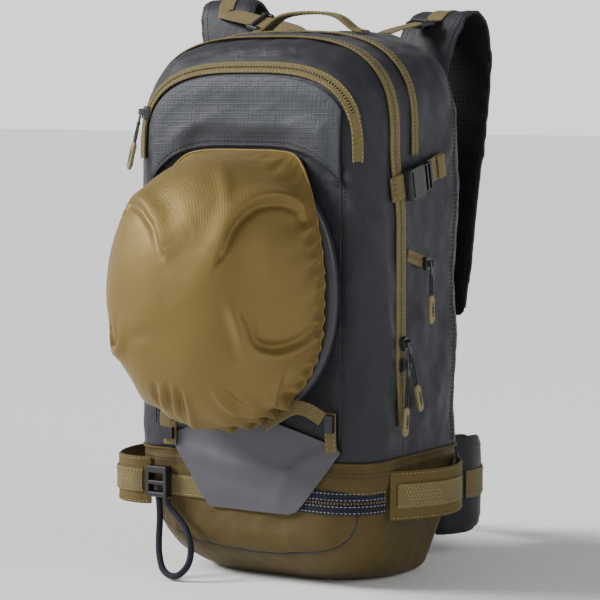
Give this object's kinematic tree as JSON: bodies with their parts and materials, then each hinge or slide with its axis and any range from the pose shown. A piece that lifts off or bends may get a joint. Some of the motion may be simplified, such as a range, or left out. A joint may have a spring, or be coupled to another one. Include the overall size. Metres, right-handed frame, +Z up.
{
  "type": "avalanche airbag backpack",
  "caption": "Zipped ski backpack with an arched top, a helmet in a front cloth sling, ski loops, padded harness and a gas airbag system inside.",
  "frame": {"origin": "on the floor under the middle of the pack body, on the boot's flat bottom", "axes": "+Z up, -Y out of the front of the pack, +Y towards the wearer, +X to the right as seen from the front"},
  "size_m": [0.3951, 0.5034, 0.6089],
  "materials": {
    "boot_cordura": "matt woven",
    "shell_nylon": "matt woven",
    "panel_nylon": "matt woven",
    "pocket_ripstop": "fine ripstop, slight sheen",
    "flap_coated": "smooth coated",
    "sling_satin": "satin weave",
    "strap_nylon": "matt woven over foam",
    "back_mesh": "mesh over foam",
    "zip_khaki": "woven tape with nylon coil",
    "zip_black": "coated tape",
    "zip_navy": "woven tape with nylon coil",
    "webbing_khaki": "woven webbing",
    "webbing_navy": "tubular webbing",
    "loop_canvas": "heavy canvas",
    "buckle_acetal": "moulded, satin",
    "slider_zinc": "cast zinc",
    "hook_metal": "black enamel",
    "pull_rubber": "moulded",
    "frame_pe": "sheet",
    "stay_alloy": "extruded",
    "airbag_nylon": "packed coated nylon",
    "valve_alloy": "machined",
    "hose_rubber": "smooth",
    "cable_sheath": "extruded",
    "trigger_grip": "moulded",
    "lever_steel": "stamped",
    "canister_steel": "powder coat",
    "helmet_shell": "satin"
  },
  "bodies": {
    "pack": {"base_boot": "boot_cordura", "main_shell": "shell_nylon", "frame_sheet": "frame_pe", "frame_stays": "stay_alloy", "back_pads": "back_mesh", "lumbar_pad": "back_mesh", "main_zip_rear": "zip_khaki", "top_zip": "zip_khaki", "side_pocket_zip": "zip_black", "base_pocket_zip": "zip_navy", "stow_flap_lower": "flap_coated", "shoulder_strap_right": "strap_nylon", "shoulder_strap_left": "strap_nylon", "shoulder_webbing": "webbing_khaki", "strap_locks": "buckle_acetal", "grab_handle": "webbing_khaki", "compression_webbing": "webbing_khaki", "compression_females": "buckle_acetal", "ski_loop_right": "loop_canvas", "ski_loop_left": "loop_canvas", "base_webbing": "webbing_khaki", "axe_buckle": "buckle_acetal", "ice_axe_loop": "webbing_navy", "fixed_sliders": "slider_zinc", "folded_airbag": "airbag_nylon", "inflator_valve": "valve_alloy", "inflation_hose": "hose_rubber", "canister_cradle": "frame_pe", "trigger_cable": "cable_sheath", "trigger_socket": "buckle_acetal", "sternum_female": "buckle_acetal"},
    "front_panel": {"front_panel_shell": "panel_nylon", "front_pocket": "pocket_ripstop", "pocket_zip": "zip_khaki", "main_zip_front": "zip_khaki", "front_webbing_tabs": "webbing_khaki", "stow_flap_upper": "flap_coated", "stowed_helmet": "helmet_shell", "pocket_zip_slider": "slider_zinc"},
    "helmet_sling": {"sling_cover": "sling_satin", "sling_straps": "webbing_khaki", "sling_hooks": "hook_metal"},
    "hip_belt_right": {"hip_wing_right": "strap_nylon", "belt_webbing_right": "webbing_khaki", "belt_buckle_female": "buckle_acetal"},
    "hip_belt_left": {"hip_wing_left": "strap_nylon", "belt_webbing_left": "webbing_khaki", "belt_buckle_male": "buckle_acetal"},
    "main_slider": {"main_zip_slider": "slider_zinc"},
    "main_pull": {"main_zip_pull": "pull_rubber"},
    "end_pull": {"end_zip_pull": "pull_rubber"},
    "pocket_pull": {"pocket_zip_pull": "pull_rubber"},
    "side_pull": {"side_zip_pull": "pull_rubber"},
    "trigger": {"trigger_handle": "trigger_grip"},
    "lever": {"firing_lever": "lever_steel"},
    "canister": {"gas_canister": "canister_steel"},
    "buckle_right": {"compression_male_right": "buckle_acetal"},
    "buckle_left": {"compression_male_left": "buckle_acetal"},
    "chest_buckle": {"sternum_male": "buckle_acetal"}
  },
  "joints": [
    {"name": "front_panel_open", "type": "hinge", "parent": "pack", "child": "front_panel", "pos_m": [0, -0.111, 0.1336], "axis": [1, 0, 0], "range_deg": [0, 55]},
    {"name": "helmet_sling_lift", "type": "hinge", "parent": "front_panel", "child": "helmet_sling", "pos_m": [-0.005, -0.1073, 0.444], "axis": [-1, 0, 0], "range_deg": [0, 55]},
    {"name": "hip_belt_right_swing", "type": "hinge", "parent": "pack", "child": "hip_belt_right", "pos_m": [0.086, 0.1185, 0.079], "axis": [0, 0, -1], "range_deg": [0, 25]},
    {"name": "hip_belt_left_swing", "type": "hinge", "parent": "pack", "child": "hip_belt_left", "pos_m": [-0.086, 0.1185, 0.079], "axis": [0, 0, 1], "range_deg": [0, 25]},
    {"name": "main_zip_slide", "type": "slide", "parent": "pack", "child": "main_slider", "axis": [0, 0, 1], "range_m": [0, 0.105]},
    {"name": "main_pull_swing", "type": "hinge", "parent": "main_slider", "child": "main_pull", "pos_m": [0.1555, -0.042, 0.25], "axis": [0, -0.9397, -0.342], "range_deg": [0, 100]},
    {"name": "end_pull_swing", "type": "hinge", "parent": "pack", "child": "end_pull", "pos_m": [0.1555, -0.042, 0.228], "axis": [0, -0.9945, 0.1045], "range_deg": [0, 100]},
    {"name": "pocket_pull_swing", "type": "hinge", "parent": "front_panel", "child": "pocket_pull", "pos_m": [-0.12748, -0.1069, 0.48223], "axis": [-0.8303, 0.5573, 0], "range_deg": [0, 100]},
    {"name": "side_pull_swing", "type": "hinge", "parent": "pack", "child": "side_pull", "pos_m": [0.1555, 0.004, 0.328], "axis": [0, -1, 0], "range_deg": [0, 100]},
    {"name": "trigger_pull", "type": "slide", "parent": "pack", "child": "trigger", "axis": [0, -0.165, -0.9863], "range_m": [0, 0.045]},
    {"name": "firing_lever_turn", "type": "hinge", "parent": "pack", "child": "lever", "pos_m": [-0.08, 0.031, 0.379], "axis": [-1, 0, 0], "range_deg": [0, 35]},
    {"name": "canister_unscrew", "type": "hinge", "parent": "pack", "child": "canister", "pos_m": [-0.08, 0.06, 0.232], "axis": [0, 0, -1], "range_deg": [0, 270]},
    {"name": "compression_right_release", "type": "slide", "parent": "pack", "child": "buckle_right", "axis": [0, 0.9744, 0.225], "range_m": [0, 0.024]},
    {"name": "compression_left_release", "type": "slide", "parent": "pack", "child": "buckle_left", "axis": [0, 0.9744, 0.225], "range_m": [0, 0.024]},
    {"name": "sternum_release", "type": "slide", "parent": "pack", "child": "chest_buckle", "axis": [1, 0, 0], "range_m": [0, 0.024]}
  ],
  "couplings": [
    {"joint": "firing_lever_turn", "follows": "trigger_pull", "rad_per_m": 13.57}
  ]
}
